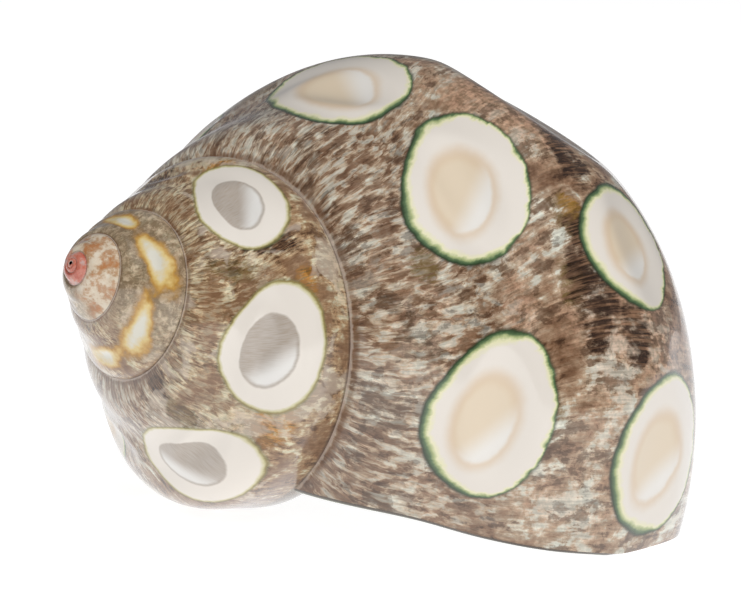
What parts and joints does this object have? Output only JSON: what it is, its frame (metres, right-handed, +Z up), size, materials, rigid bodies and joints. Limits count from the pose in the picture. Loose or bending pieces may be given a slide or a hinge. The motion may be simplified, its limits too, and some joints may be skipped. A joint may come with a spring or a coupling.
{
  "type": "turban shell",
  "caption": "Polished turban sea shell with a low coiled spire, rows of knobs ground flat and a wide open mouth, lying on its mouth.",
  "frame": {"origin": "middle of the footprint, on the surface that the shell rests on", "axes": "+Z up, out of the surface; +X along the shell's longest side, from the apex towards the base; -Y towards the picture's camera"},
  "size_m": [0.079, 0.056, 0.0567],
  "materials": {
    "shell": "polished to a high gloss, mottled taupe with white ground knobs"
  },
  "bodies": {
    "root": {"turban_shell": "shell"}
  },
  "joints": []
}
